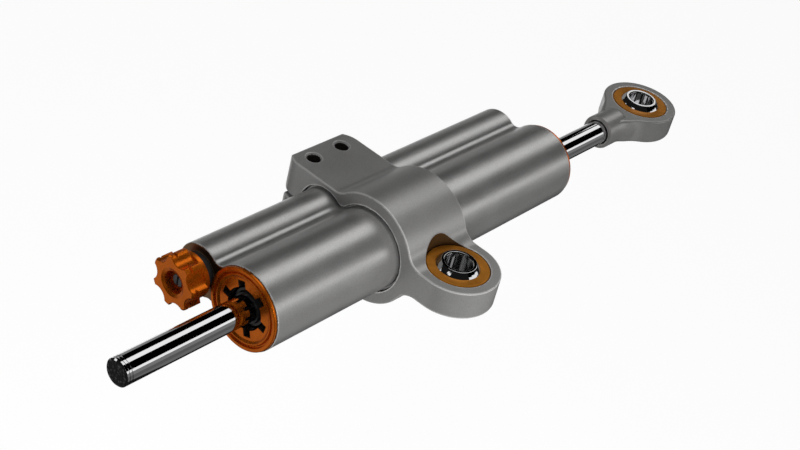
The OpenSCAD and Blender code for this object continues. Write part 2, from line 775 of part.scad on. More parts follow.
// Black bushing that carries the stem and guides the needle
module adjuster_bushing() {
    spigot_r = res_bore_r - fit;
    color("#1f1f21") difference() {
        union() {
            on_res(flange_x0) chamfered_rod(bush_flange_r, bush_flange_t, edge_break / 2);
            on_res(body_x0 - edge_break) chamfered_rod(spigot_r, bush_depth + edge_break, edge_break);
        }
        on_res(flange_x0 - cut) cylinder(r = stem_r + run, h = bush_x1 - flange_x0 + 2 * cut);
        on_res(guide_x0) cylinder(r = guide_r, h = guide_depth + cut);
        on_res(stem_ring_x - small_ring_w / 2)
            cylinder(r = stem_r + small_ring_gap, h = small_ring_w);
        on_res(bush_ring_x - small_ring_w / 2)
            ring(res_bore_r + cut, res_bore_r - small_ring_gap, small_ring_w);
        on_res(flange_x0 - cut) translate([detent_reach, 0, 0])
            cylinder(r = detent_r + detent_pocket_gap, h = detent_depth + cut);
    }
}

module stem_o_ring() {
    color("#1c1c1c") on_res(stem_ring_x) o_ring(stem_r, stem_r + small_ring_gap);
}

module bushing_o_ring() {
    color("#1c1c1c") on_res(bush_ring_x) o_ring(res_bore_r - small_ring_gap, res_bore_r);
}

module detent_ball() {
    color("#b9bcc2") on_res(detent_x) translate([detent_reach, 0, 0]) sphere(r = detent_r, $fn = 48);
}

module detent_spring() {
    wire = 0.2;
    start = detent_x + detent_r + spring_gap;
    length = flange_x0 + detent_depth - start;
    color("#a9adb3") on_res(start) translate([detent_reach, 0, 0])
        coil(detent_r - wire, wire, length, 3);
}

// Needle: guided head with a hexagon socket and a tapered tip
module adjuster_needle() {
    color("#c3a766") difference() {
        union() {
            on_res(needle_x0) cylinder(r = guide_r - run, h = needle_head_x1 - needle_x0);
            on_res(needle_head_x1 - cut) cylinder(r = needle_r, h = taper_x0 - needle_head_x1 + cut);
            on_res(taper_x0) cylinder(r1 = needle_r, r2 = needle_tip_r, h = taper_len);
        }
        on_res(needle_x0 - cut) cylinder(r = drive_r + drive_gap, h = socket_x1 - needle_x0 + cut, $fn = 6);
    }
}

// Seat that the needle closes, pressed against the step in the reservoir
module valve_seat() {
    color("#b08a3a") difference() {
        on_res(seat_x0) chamfered_rod(res_bore_r - fit, seat_len, edge_break / 2);
        on_res(seat_x0 - cut) cylinder(r = orifice_r, h = seat_len + 2 * cut);
        on_res(seat_x0 + seat_len / 2) cylinder(r = 2 * orifice_r, h = seat_len);
    }
}

// Cup that takes up the oil's expansion, with a ring groove in its floor
comp_groove_x = comp_x0 + (comp_floor_t - comp_ring_w) / 2;
module compensator_piston() {
    color("#8d9298") difference() {
        on_res(comp_x0) chamfered_rod(comp_bore_r - run, comp_len, edge_break / 2);
        on_res(comp_x0 + comp_floor_t) cylinder(r = comp_cup_r, h = comp_len);
        on_res(comp_groove_x) ring(res_bore_r, comp_bore_r - comp_ring_gap, comp_ring_w);
    }
}

module compensator_o_ring() {
    color("#1c1c1c") on_res(comp_groove_x + comp_ring_w / 2)
        o_ring(comp_bore_r - comp_ring_gap, comp_bore_r);
}

module compensator_spring() {
    color("#a9adb3") on_res(spring_x0 + spring_gap)
        coil(comp_cup_r - comp_wire, comp_wire, plug_x0 - spring_x0 - 2 * spring_gap, comp_curls);
}

// Rear plug of the reservoir with a hexagon socket
module reservoir_plug() {
    ring_x = plug_x0 + edge_break + small_ring_w / 2;
    color("#6e6d6a") difference() {
        on_res(plug_x0) chamfered_rod(res_bore_r - fit, plug_len, edge_break / 2);
        on_res(body_x1 - plug_len / 2) cylinder(r = 2.3, h = plug_len, $fn = 6);
        on_res(ring_x - small_ring_w / 2)
            ring(res_bore_r + cut, res_bore_r - small_ring_gap, small_ring_w);
    }
}

module plug_o_ring() {
    ring_x = plug_x0 + edge_break + small_ring_w / 2;
    color("#1c1c1c") on_res(ring_x) o_ring(res_bore_r - small_ring_gap, res_bore_r);
}

clamp();
clamp_screws();
lug_race();
lug_ball();
body_housing();
front_cap();
rear_cap();
front_cap_o_ring();
rear_cap_o_ring();
front_scraper();
rear_scraper();
front_rod_seal();
rear_rod_seal();
front_guide_bush();
rear_guide_bush();
piston_rod();
piston();
piston_circlips();
piston_ring();
piston_o_ring();
rod_end();
rod_end_race();
rod_end_ball();
adjuster_knob();
knob_screw();
adjuster_stem();
stem_o_ring();
adjuster_bushing();
bushing_o_ring();
detent_ball();
detent_spring();
adjuster_needle();
valve_seat();
compensator_piston();
compensator_o_ring();
compensator_spring();
reservoir_plug();
plug_o_ring();
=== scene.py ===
import json
import math

import bpy
import numpy as np
from mathutils import Matrix, Vector


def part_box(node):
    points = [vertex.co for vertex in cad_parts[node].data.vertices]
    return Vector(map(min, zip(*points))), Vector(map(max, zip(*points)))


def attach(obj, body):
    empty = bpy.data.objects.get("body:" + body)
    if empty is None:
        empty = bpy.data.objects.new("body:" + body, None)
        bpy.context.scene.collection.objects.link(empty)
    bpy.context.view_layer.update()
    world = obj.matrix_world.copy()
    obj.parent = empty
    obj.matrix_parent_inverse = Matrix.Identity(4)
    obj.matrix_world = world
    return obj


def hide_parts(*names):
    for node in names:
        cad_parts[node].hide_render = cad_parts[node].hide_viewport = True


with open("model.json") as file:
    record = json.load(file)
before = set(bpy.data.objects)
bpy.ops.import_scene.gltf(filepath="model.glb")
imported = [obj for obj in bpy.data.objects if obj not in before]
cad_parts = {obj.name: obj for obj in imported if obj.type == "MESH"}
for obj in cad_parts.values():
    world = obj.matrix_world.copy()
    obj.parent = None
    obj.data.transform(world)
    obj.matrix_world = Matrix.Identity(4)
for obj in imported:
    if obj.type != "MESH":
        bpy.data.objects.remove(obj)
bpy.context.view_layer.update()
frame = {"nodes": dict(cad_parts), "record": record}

# Pieces are worked out in millimetres and made in metres
MM = 0.001


def span(node):
    """Lowest and highest corner of a CAD node, in millimetres"""
    low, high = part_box(node)
    return np.array(low) / MM, np.array(high) / MM


# Camera, at the photograph's place

CAMERA_AT = Vector((-310.66, -180.02, 265.92)) * MM
CAMERA_RIGHT = Vector((0.65283, -0.72718, 0.21218))
CAMERA_UP = Vector((0.32472, 0.52171, 0.78890))
CAMERA_LENS = 70.58


def make_camera():
    data = bpy.data.cameras.new("camera")
    data.lens = CAMERA_LENS
    data.sensor_width = 36
    camera = bpy.data.objects.new("camera", data)
    back = CAMERA_RIGHT.cross(CAMERA_UP).normalized()
    up = back.cross(CAMERA_RIGHT).normalized()
    turn = Matrix((CAMERA_RIGHT.normalized(), up, back)).transposed().to_4x4()
    camera.matrix_world = Matrix.Translation(CAMERA_AT) @ turn
    data.clip_start, data.clip_end = 0.01, 20
    bpy.context.collection.objects.link(camera)
    bpy.context.scene.camera = camera


make_camera()

# Places that the frame gives
tube_low, tube_high = span("body_housing")
rod_low, rod_high = span("piston_rod")
cap_low, cap_high = span("front_cap")
rear_low, rear_high = span("rear_cap")
knob_low, knob_high = span("adjuster_knob")
bush_low, bush_high = span("adjuster_bushing")
lug_low, lug_high = span("lug_race")
eye_low, eye_high = span("rod_end_race")
neck_low, neck_high = span("rod_end")
clamp_low, clamp_high = span("clamp")
screw_low, screw_high = span("clamp_screws")
ball_low, ball_high = span("lug_ball")

# Radii and axes
TUBE_R = 12.5
RES_R = 8.0
WEB_R = 3.0
ROD_R = 4.0
PLUG_R = 11.0
CHAMBER_R = 10.0
RES_BORE_R = 5.5
tube_y = tube_low[1] + TUBE_R
res_y = tube_high[1] - RES_R
res_z = (bush_low[2] + bush_high[2]) / 2
body_x0, body_x1 = tube_low[0], tube_high[0]
cap_depth = cap_high[0] - body_x0

# Spherical bearings
RACE_R = 9.5
BALL_R = 7.9375
BORE_R = 4.0
race_w = lug_high[2] - lug_low[2]
ball_w = ball_high[2] - ball_low[2]
eye_x = (eye_low[0] + eye_high[0]) / 2

# Clamp
LUG_R = 12.7
RING_R = 17.0
LUG_FILLET = 6.0
BLOCK_FILLET = 5.0
BLOCK_CORNER = 7.2
CORNER_RUN = 4.8
SLIT_LOW, SLIT_HIGH = -1.75, -0.25
SLIT_EDGE = 1.5
TAP_R = 2.1
HEAD_R = 4.25
HEAD_H = 5.0
SCREW_CLEAR = 0.15
RELIEF = 0.75
RELIEF_RUN = 1.2
EDGE = 0.3
block_y = clamp_high[1]
block_top = res_z + RES_R + 2.2
block_low = res_z - RES_R - 2.2
screw_x = (screw_high[0] - screw_low[0]) / 2 - HEAD_R
screw_y = (screw_low[1] + screw_high[1]) / 2

# Rod end
EYE_EDGE = 0.6
EYE_FOOT = 1.8
NECK_R = 5.7
NECK_LEN = 11.5
NECK_TIP = 2.0
NECK_EDGE = 0.6
NECK_FILLET = 7.0
NECK_MOUTH = 2.0

# End caps
CAP_R = 12.2
CAP_RIM = 1.2
GROOVE_W = 0.55
GROOVE_D = 0.75
RIDGE_D = 0.25
RIDGE_FROM, RIDGE_TO = 0.65, 1.1
RIDGE_FOOT = 1.8
NOTCHES = 6
NOTCH_PHASE = math.radians(10)
NOTCH_W = 2.5
NOTCH_R = 8.3
SPANNER_R = 6.2
SPANNER_DEPTH = 2.6
cap_proud = body_x0 - cap_low[0]

# Knob and the collar under it
KNOB_R = 8.05
KNOB_EDGE = 0.45
HOLE_R = 3.3
HOLE_FLARE = 1.1
HOLE_DEPTH = 3.0
SHAFT_HOLE_R = 2.0
VEE_AT = 1.7
VEE_HALF = 0.4
VEE_DEPTH = 0.9
COLLAR_R = 6.75
COLLAR_LEN = 1.7
LOBES = 7
KNOB_PHASE = math.radians(20)
SCALLOP_R = 3.25
SCALLOP_DEPTH = 1.95
STEM_HOLE_R = 2.24

# Farther than anything on the part
FAR = 1000.0


# Distance fields: each gives the distance to a shape, negative inside it

def disc(a, b, r):
    """A circle of radius r"""
    return np.hypot(a, b) - r


def between(a, low, high):
    """The slab between two planes"""
    return np.maximum(low - a, a - high)


def common(a, b, r=0.0):
    """What two shapes share, with the edge between them rounded to r"""
    sharp = np.maximum(a, b)
    if r == 0:
        return sharp
    return np.where((a > -r) & (b > -r), np.hypot(a + r, b + r) - r, sharp)


def joined(a, b, r=0.0):
    """Two shapes together, with a fillet of r between them"""
    return -common(-a, -b, r)


def cut(a, b, r=0.0):
    """The first shape without the second"""
    return common(a, -b, r)


def in_triangle(a, b, p, q, r):
    """Whether the points a, b lie in the triangle p, q, r"""
    sides = [(e[0] - s[0]) * (b - s[1]) - (e[1] - s[1]) * (a - s[0]) for s, e in ((p, q), (q, r), (r, p))]
    return (np.minimum.reduce(sides) >= 0) | (np.maximum.reduce(sides) <= 0)


def cove(a, b, centre, r, hub, foot):
    """The concave fillet that an arc round centre leaves between the shapes at hub and foot"""
    arc = r - np.hypot(a - centre[0], b - centre[1])
    return np.where(in_triangle(a, b, hub, centre, foot), arc, FAR)


def outline_field(a, b, points):
    """Distance to a closed outline of straight stretches"""
    nearest, inside = FAR, np.zeros(np.broadcast(a, b).shape, bool)
    for (p0, p1), (q0, q1) in zip(points, np.roll(points, -1, axis=0)):
        e0, e1 = q0 - p0, q1 - p1
        share = np.clip(((a - p0) * e0 + (b - p1) * e1) / (e0 * e0 + e1 * e1), 0, 1)
        nearest = np.minimum(nearest, np.hypot(a - p0 - share * e0, b - p1 - share * e1))
        if e1 != 0:
            inside = inside ^ (((p1 > b) != (q1 > b)) & (a < p0 + (b - p1) * e0 / e1))
    return np.where(inside, -nearest, nearest)


def rounded(points, r, steps=4):
    """The points and outward normals of a closed outline, counterclockwise, with rounded corners"""
    points = np.array(points, float)
    places, normals = [], []
    for before, corner, after in zip(np.roll(points, 1, axis=0), points, np.roll(points, -1, axis=0)):
        into, out = corner - before, after - corner
        room = 0.45 * min(np.hypot(*into), np.hypot(*out))
        into, out = into / np.hypot(*into), out / np.hypot(*out)
        turn = math.atan2(into[0] * out[1] - into[1] * out[0], into @ out)
        reach = min(r * abs(math.tan(turn / 2)), room)
        radius = reach / math.tan(turn / 2)
        start = math.atan2(-into[0], into[1])
        first = np.array([math.cos(start), math.sin(start)])
        centre = corner - into * reach - radius * first
        for step in range(steps + 1):
            angle = start + turn * step / steps
            normal = np.array([math.cos(angle), math.sin(angle)])
            places.append(centre + radius * normal)
            normals.append(normal)
    return np.array(places), np.array(normals)


# Meshes

def steps(low, high, pitch, margin=2):
    """Evenly spaced samples over a stretch and a little beyond it"""
    count = math.ceil((high - low) / pitch)
    return low + (high - low) * (np.arange(-margin, count + margin + 1) - 0.37) / count


def fine_ends(low, high, fine, coarse, reach):
    """Samples that are close together near both ends of a stretch"""
    middle = np.linspace(low + reach, high - reach, math.ceil((high - low - 2 * reach) / coarse) + 1)
    first, last = steps(low, low + reach, fine), steps(high - reach, high, fine)
    return np.concatenate([first[:-3], middle[1:-1], last[3:]])


def mesh_object(name, points, faces, normals):
    """An object with smooth shading along the given normals"""
    mesh = bpy.data.meshes.new(name)
    mesh.from_pydata((points * MM).tolist(), [], faces)
    mesh.shade_smooth()
    mesh.normals_split_custom_set_from_vertices(normals.tolist())
    thing = bpy.data.objects.new(name, mesh)
    bpy.context.collection.objects.link(thing)
    return thing


def slope_of(field, points, step=0.004):
    """The direction in which a field grows, at each point"""
    slope = np.empty_like(points)
    for axis in range(3):
        shift = np.zeros(3)
        shift[axis] = step
        slope[:, axis] = (field(*(points + shift).T) - field(*(points - shift).T)) / (2 * step)
    return slope


def straight(a, b, c):
    return a, b, c


def round_x(y, z):
    """Grid lines along x, outwards and round an axis at y, z"""
    return lambda a, b, c: (a, y + b * np.cos(c), z + b * np.sin(c))


def skin(name, field, grid, place=straight, wrap=False, edge_reach=0.4):
    """The surface where a field is zero, with one vertex in each grid cell that it crosses"""
    sparse = np.meshgrid(*grid, indexing="ij", sparse=True)
    shape = tuple(len(g) for g in grid)
    value = np.broadcast_to(field(*place(*sparse)), shape)
    inside = value < 0
    corners = np.zeros([n - 1 for n in shape], int)
    for i, j, k in np.ndindex(2, 2, 2):
        corners += inside[i:shape[0] - 1 + i, j:shape[1] - 1 + j, k:shape[2] - 1 + k]
    crossed = (corners > 0) & (corners < 8)
    cells = np.argwhere(crossed)
    number = np.full(crossed.shape, -1)
    number[crossed] = np.arange(len(cells))

    total, hits = np.zeros((len(cells), 3)), np.zeros(len(cells))
    faces = []
    for axis in range(3):
        first, second = (axis + 1) % 3, (axis + 2) % 3
        for s, t in np.ndindex(2, 2):
            start = cells.copy()
            start[:, first] += s
            start[:, second] += t
            end = start.copy()
            end[:, axis] += 1
            low, high = value[tuple(start.T)], value[tuple(end.T)]
            crossing = (low < 0) != (high < 0)
            share = np.where(crossing, low / np.where(crossing, low - high, 1), 0)
            at = np.stack([grid[o][start[:, o]] for o in range(3)], axis=1)
            at[:, axis] += share * (grid[axis][end[:, axis]] - grid[axis][start[:, axis]])
            total += at * crossing[:, None]
            hits += crossing

        low = np.take(inside, range(shape[axis] - 1), axis=axis)
        high = np.take(inside, range(1, shape[axis]), axis=axis)
        edges = np.argwhere(low != high)
        for other in (first, second):
            lowest = 0 if wrap and other == 2 else 1
            edges = edges[(edges[:, other] >= lowest) & (edges[:, other] < shape[other] - 1)]
        ring = []
        for s, t in ((-1, -1), (0, -1), (0, 0), (-1, 0)):
            cell = edges.copy()
            cell[:, first] += s
            cell[:, second] += t
            ring.append(number[tuple(cell.T)])
        ring = np.stack(ring, axis=1)
        outward = low[tuple(edges.T)]
        faces.append(np.where(outward[:, None], ring, ring[:, ::-1]))

    points = np.stack(np.broadcast_arrays(*place(*(total / hits[:, None]).T)), axis=1)
    for _ in range(4):
        slope = slope_of(field, points)
        push = field(*points.T) / np.maximum((slope * slope).sum(axis=1), 0.3)
        points = points - slope * np.clip(push, -0.3, 0.3)[:, None]
    slope = slope_of(field, points)
    normals = slope / np.maximum(np.linalg.norm(slope, axis=1), 1e-9)[:, None]
    thing = mesh_object(name, points, np.concatenate(faces).tolist(), normals)
    deep = field(*(points - normals * edge_reach).T) + edge_reach
    edge = thing.data.attributes.new("edge", "FLOAT", "POINT")
    edge.data.foreach_set("value", np.clip(deep / (0.5 * edge_reach), 0, 1))
    return thing


def lathe(name, outline, corner, centre, along, turns=160, on_axis=False):
    """A turned piece: an outline of (place along the axis, radius) points, counterclockwise"""
    places, normals = rounded(outline, corner)
    if on_axis:
        keep = places[:, 1] > 1e-3
        places, normals = places[keep], normals[keep]
    angle = 2 * math.pi * np.arange(turns) / turns
    cos, sin = np.cos(angle), np.sin(angle)

    def spun(pairs, offset):
        u, r = pairs[:, 0][:, None], pairs[:, 1][:, None]
        parts = [u + 0 * cos, r * cos, r * sin] if along == "x" else [r * cos, r * sin, u + 0 * cos]
        return np.stack([p + o for p, o in zip(parts, offset)], axis=2).reshape(-1, 3)

    points, shading = spun(places, centre), spun(normals, (0, 0, 0))
    rings = len(places)
    faces = []
    for i in range(rings - 1 if on_axis else rings):
        for j in range(turns):
            k, nxt = (j + 1) % turns, (i + 1) % rings
            faces.append((i * turns + j, nxt * turns + j, nxt * turns + k, i * turns + k))
    if on_axis:
        faces.append(tuple(range(turns)))
        faces.append(tuple((rings - 1) * turns + j for j in reversed(range(turns))))
    return mesh_object(name, points, faces, shading)


# Fields of the pieces

def body_section(y, z):
    """End view of the body: two tubes with a concave web between them"""
    gap = math.hypot(res_y - tube_y, res_z)
    to_tube, to_res = TUBE_R + WEB_R, RES_R + WEB_R
    along = (gap * gap + to_tube * to_tube - to_res * to_res) / (2 * gap)
    off = math.sqrt(to_tube * to_tube - along * along)
    cos, sin = (res_y - tube_y) / gap, res_z / gap
    tube, res = (tube_y, 0.0), (res_y, res_z)
    both = np.minimum(disc(y - tube_y, z, TUBE_R), disc(y - res_y, z - res_z, RES_R))
    for side in (-1, 1):
        centre = (tube_y + along * cos - side * off * sin, along * sin + side * off * cos)
        both = np.minimum(both, cove(y, z, centre, WEB_R, tube, res))
    return both


def body_field(x, y, z):
    """The two-tube extrusion with its bores"""
    solid = common(body_section(y, z), between(x, body_x0, body_x1), EDGE)
    from_end = np.minimum(x - body_x0, body_x1 - x)
    chamber = disc(y - tube_y, z, CHAMBER_R)
    plug = np.maximum(disc(y - tube_y, z, PLUG_R), from_end - cap_depth)
    valve = disc(y - res_y, z - res_z, RES_BORE_R)
    return cut(solid, np.minimum(np.minimum(chamber, plug), valve))


def clamp_field(x, y, z):
    """The clamp: ring, lug and screw block, bored for the tube, the bearing and the screws"""
    a = y - tube_y
    half = race_w / 2
    lug_c = half + LUG_FILLET
    lug_a = -math.sqrt((RING_R + LUG_FILLET) ** 2 - lug_c * lug_c)
    section = np.minimum(disc(a, z, RING_R), np.maximum(np.abs(z) - half, a))
    section = np.minimum(section, np.maximum(between(z, block_low, block_top), -a))
    for side in (-1, 1):
        section = np.minimum(section, cove(a, z, (lug_a, side * lug_c), LUG_FILLET, (0, 0), (lug_a, 0)))
    for level in (block_top + BLOCK_FILLET, block_low - BLOCK_FILLET):
        block_a = math.sqrt((RING_R + BLOCK_FILLET) ** 2 - level * level)
        section = np.minimum(section, cove(a, z, (block_a, level), BLOCK_FILLET, (0, 0), (block_a, 0)))
    rim = np.where(z > 0, common(section, y - block_y, EDGE), common(section, y - block_y, SLIT_EDGE))
    slit = np.maximum(between(z, SLIT_LOW, SLIT_HIGH), res_y - y)
    rim = cut(rim, slit, SLIT_EDGE)
    sides = np.where(y < 0, np.hypot(x, y), np.abs(x)) - LUG_R
    edge_y = y - block_y
    corner = np.hypot(sides + BLOCK_CORNER, edge_y + CORNER_RUN) - BLOCK_CORNER
    sides = np.where((sides > -BLOCK_CORNER) & (edge_y > -CORNER_RUN), corner, sides)
    solid = common(rim, sides, EDGE)
    bore = body_section(y, z)
    solid = cut(solid, bore - 0.05)
    solid = cut(solid, np.maximum(bore - RELIEF, LUG_R - RELIEF_RUN - np.abs(x)))
    solid = cut(solid, disc(x, y, RACE_R + 0.1), 0.25)
    hole_x = np.abs(x) - screw_x
    tapped = disc(hole_x, y - screw_y, TAP_R)
    mouth = (tapped - (z - block_top + 0.5)) * math.sqrt(0.5)
    solid = cut(solid, np.maximum(np.minimum(tapped, mouth), SLIT_LOW - z))
    head = disc(hole_x, y - screw_y, HEAD_R + SCREW_CLEAR)
    way_out = np.maximum(np.abs(hole_x) - HEAD_R - SCREW_CLEAR, screw_y - y)
    seat = z - block_low - HEAD_H
    return cut(solid, np.maximum(np.minimum(head, way_out), seat), 0.2)


def rod_end_field(x, y, z):
    """The eye and the round neck that flows into its side"""
    u, v = x - eye_x, y - tube_y
    eye_r = neck_high[0] - eye_x
    neck = common(disc(v, z, NECK_R), neck_low[0] - x, NECK_EDGE)
    neck = common(neck, x - neck_low[0] - NECK_LEN, NECK_TIP)
    eye = joined(disc(u, v, eye_r), neck, NECK_FILLET)
    eye = common(common(eye, z - race_w / 2, EYE_EDGE), -z - race_w / 2, EYE_FOOT)
    solid = np.minimum(eye, neck)
    solid = cut(solid, disc(u, v, RACE_R + 0.15), 0.2)
    mouth = np.maximum(disc(v, z, ROD_R + 0.25), x - neck_low[0] - NECK_MOUTH)
    return cut(solid, mouth, 0.3)


def cap_field(low, side):
    """An end cap, seen from its outer face at low; side is 1 at the front and -1 at the rear"""
    rim = CAP_R - CAP_RIM
    bottom = cap_proud + cap_depth
    outline = [
        [0.0, CAP_R], [0.0, rim], [GROOVE_D, rim], [GROOVE_D, rim - GROOVE_W], [RIDGE_D, rim - RIDGE_FROM],
        [RIDGE_D, rim - RIDGE_TO], [GROOVE_D, rim - RIDGE_FOOT], [GROOVE_D, ROD_R + 0.3],
        [bottom, ROD_R + 0.3], [bottom, PLUG_R - 0.03], [cap_proud, PLUG_R - 0.03], [cap_proud, CAP_R]]
    points, _ = rounded(outline, 0.22)

    def field(x, y, z):
        u = side * (x - low)
        r = np.hypot(y - tube_y, z)
        solid = outline_field(u, r, points)
        angle = np.arctan2(z, y - tube_y)
        sector = 2 * math.pi / NOTCHES
        local = (angle - NOTCH_PHASE + sector / 2) % sector - sector / 2
        notch = np.maximum(np.abs(r * np.sin(local)) - NOTCH_W / 2, r * np.cos(local) - NOTCH_R)
        hole = np.minimum(r - SPANNER_R, notch)
        return cut(solid, np.maximum(hole, u - SPANNER_DEPTH), 0.12)

    return field


def knob_field(x, y, z):
    """The lobed knob with a V-groove near its face and a plain collar"""
    u = x - knob_low[0]
    b, c = y - res_y, z - res_z
    r = np.hypot(b, c)
    length = knob_high[0] - knob_low[0]
    grip = length - COLLAR_LEN
    outline = [
        [KNOB_EDGE, HOLE_R], [0.0, HOLE_R + HOLE_FLARE], [0.0, KNOB_R - KNOB_EDGE], [KNOB_EDGE, KNOB_R],
        [VEE_AT - VEE_HALF, KNOB_R], [VEE_AT, KNOB_R - VEE_DEPTH], [VEE_AT + VEE_HALF, KNOB_R],
        [grip, KNOB_R], [grip, COLLAR_R], [length, COLLAR_R],
        [length, SHAFT_HOLE_R], [HOLE_DEPTH, SHAFT_HOLE_R], [HOLE_DEPTH, HOLE_R]][::-1]
    points, _ = rounded(outline, 0.15)
    solid = outline_field(u, r, points)
    sector = 2 * math.pi / LOBES
    local = (np.arctan2(c, b) - KNOB_PHASE) % sector - sector / 2
    at = KNOB_R - SCALLOP_DEPTH + SCALLOP_R
    scallop = disc(r * np.cos(local) - at, r * np.sin(local), SCALLOP_R)
    return cut(solid, np.maximum(scallop, u - grip - 0.2), 0.2)


# Materials

class Shader:
    """A material with one principled shader, whose inputs are driven by object-space patterns"""

    def __init__(self, name):
        self.material = bpy.data.materials.new(name)
        self.material.use_nodes = True
        self.tree = self.material.node_tree
        self.main = self.tree.nodes["Principled BSDF"]
        self.place = self.tree.nodes.new("ShaderNodeTexCoord").outputs["Object"]

    def set(self, **values):
        for key, value in values.items():
            self.main.inputs[key.replace("_", " ")].default_value = value

    def link(self, source, target):
        self.tree.links.new(source, target)

    def stretch(self, x, y, z):
        """Object coordinates with their own scale along each axis"""
        node = self.tree.nodes.new("ShaderNodeMapping")
        node.inputs["Scale"].default_value = (x, y, z)
        self.link(self.place, node.inputs["Vector"])
        return node.outputs["Vector"]

    def noise(self, size, detail=2.0, rough=0.5, place=None):
        """Noise with features of about size millimetres"""
        node = self.tree.nodes.new("ShaderNodeTexNoise")
        node.inputs["Scale"].default_value = 1 / (size * MM)
        node.inputs["Detail"].default_value = detail
        node.inputs["Roughness"].default_value = rough
        self.link(place or self.place, node.inputs["Vector"])
        return node.outputs["Fac"]

    def ramp(self, source, stops):
        """Colours or greys at places along a value"""
        node = self.tree.nodes.new("ShaderNodeValToRGB")
        band = node.color_ramp
        while len(band.elements) < len(stops):
            band.elements.new(0.5)
        for element, (at, colour) in zip(band.elements, stops):
            element.position = at
            element.color = (*colour, 1) if isinstance(colour, tuple) else (colour, colour, colour, 1)
        self.link(source, node.inputs["Fac"])
        return node.outputs["Color"]

    def mix(self, kind, amount, one, two):
        """Two colours blended"""
        node = self.tree.nodes.new("ShaderNodeMix")
        node.data_type = "RGBA"
        node.blend_type = kind
        for key, value in ((0, amount), (6, one), (7, two)):
            if isinstance(value, bpy.types.NodeSocket):
                self.link(value, node.inputs[key])
            else:
                node.inputs[key].default_value = value if key == 0 else (*value, 1)
        return node.outputs[2]

    def bump(self, source, depth, strength=1.0, after=None):
        """Relief of depth millimetres"""
        node = self.tree.nodes.new("ShaderNodeBump")
        node.inputs["Distance"].default_value = depth * MM
        node.inputs["Strength"].default_value = strength
        self.link(source, node.inputs["Height"])
        if after:
            self.link(after, node.inputs["Normal"])
        return node.outputs["Normal"]

    def within(self, r):
        """Whether a point lies within r millimetres of the z axis"""
        length = self.tree.nodes.new("ShaderNodeVectorMath")
        length.operation = "LENGTH"
        self.link(self.stretch(1, 1, 0), length.inputs[0])
        node = self.tree.nodes.new("ShaderNodeMath")
        node.operation = "LESS_THAN"
        node.inputs[1].default_value = r * MM
        self.link(length.outputs["Value"], node.inputs[0])
        return node.outputs[0]

    def edge(self):
        """How near a point is to an outer edge of its piece"""
        node = self.tree.nodes.new("ShaderNodeAttribute")
        node.attribute_name = "edge"
        return node.outputs["Fac"]


# Painted reflection: dark bronze-brown for the bronze race mirrored in the wall of the clamp's bearing bore
PAINTED_BORE_REFLECTION = (0.09, 0.05, 0.02)
ORANGE = (0.88, 0.19, 0.008)


def tinted(colour, factor):
    return tuple(min(c * factor, 1.0) for c in colour)


def blasted(name, colour, rough, grain=0.28, relief=0.012, painted_edge_highlight=1.35, metal=0.8, painted_bore_reflection=False):
    """Bead-blasted and anodised aluminium, with fine grain, faint clouding, a painted highlight on its
    rounded edges and, where asked, a painted reflection of the bronze race in the bearing bore
    """
    shader = Shader(name)
    fine = shader.noise(grain, detail=1.5)
    cloud = shader.noise(9, detail=3)
    base = shader.ramp(fine, [(0.3, tinted(colour, 0.9)), (0.7, tinted(colour, 1.1))])
    tone = shader.ramp(cloud, [(0.3, 0.94), (0.7, 1.0)])
    base = shader.mix("MULTIPLY", 1.0, base, tone)
    # Painted highlight: the colour is lightened near outer edges, for the thin bright lines where light
    # catches the rounded edges
    base = shader.mix("MIX", shader.edge(), base, tinted(colour, painted_edge_highlight))
    gloss = shader.ramp(cloud, [(0.3, rough - 0.03), (0.7, rough + 0.03)])
    # Painted reflection: within the race's radius of the z axis the wall is coloured dark bronze-brown and
    # made glossier, standing in for the race reflected in it
    if painted_bore_reflection:
        bored = shader.within(RACE_R + 0.14)
        base = shader.mix("MIX", bored, base, PAINTED_BORE_REFLECTION)
        gloss = shader.mix("MIX", bored, gloss, (0.2, 0.2, 0.2))
    shader.link(base, shader.main.inputs["Base Color"])
    shader.link(gloss, shader.main.inputs["Roughness"])
    # Painted highlight, continued: the edges are made half as metallic, so that they pick up more of the
    # diffuse light
    metallic = shader.ramp(shader.edge(), [(0.0, metal), (1.0, 0.5 * metal)])
    shader.link(metallic, shader.main.inputs["Metallic"])
    shader.link(shader.bump(fine, relief), shader.main.inputs["Normal"])
    return shader.material


def turned(name, colour, rough, shade=0.8, pitch=0.09, relief=0.0015, along="x", centre=(0, 0),
           spread=0.0, metal=1.0):
    """Turned metal: fine rings round the axis of the piece"""
    shader = Shader(name)
    rings = shader.tree.nodes.new("ShaderNodeTexWave")
    rings.wave_type = "RINGS"
    rings.rings_direction = along.upper()
    rings.inputs["Scale"].default_value = 1 / (pitch * MM * 20)
    rings.inputs["Distortion"].default_value = 0.6
    move = shader.tree.nodes.new("ShaderNodeMapping")
    offset = (0, -centre[0] * MM, -centre[1] * MM) if along == "x" else (-centre[0] * MM, -centre[1] * MM, 0)
    move.inputs["Location"].default_value = offset
    shader.link(shader.place, move.inputs["Vector"])
    shader.link(move.outputs["Vector"], rings.inputs["Vector"])
    cloud = shader.noise(3, detail=3)
    base = shader.ramp(cloud, [(0.3, tinted(colour, shade)), (0.7, colour)])
    shader.link(base, shader.main.inputs["Base Color"])
    gloss = shader.ramp(cloud, [(0.3, rough - 0.04), (0.7, rough + 0.04)])
    shader.link(gloss, shader.main.inputs["Roughness"])
    shader.link(shader.bump(rings.outputs["Fac"], relief), shader.main.inputs["Normal"])
    shader.set(Metallic=metal, Anisotropic=spread)
    around = shader.tree.nodes.new("ShaderNodeTangent")
    around.direction_type = "RADIAL"
    around.axis = along.upper()
    shader.link(around.outputs["Tangent"], shader.main.inputs["Tangent"])
    return shader.material


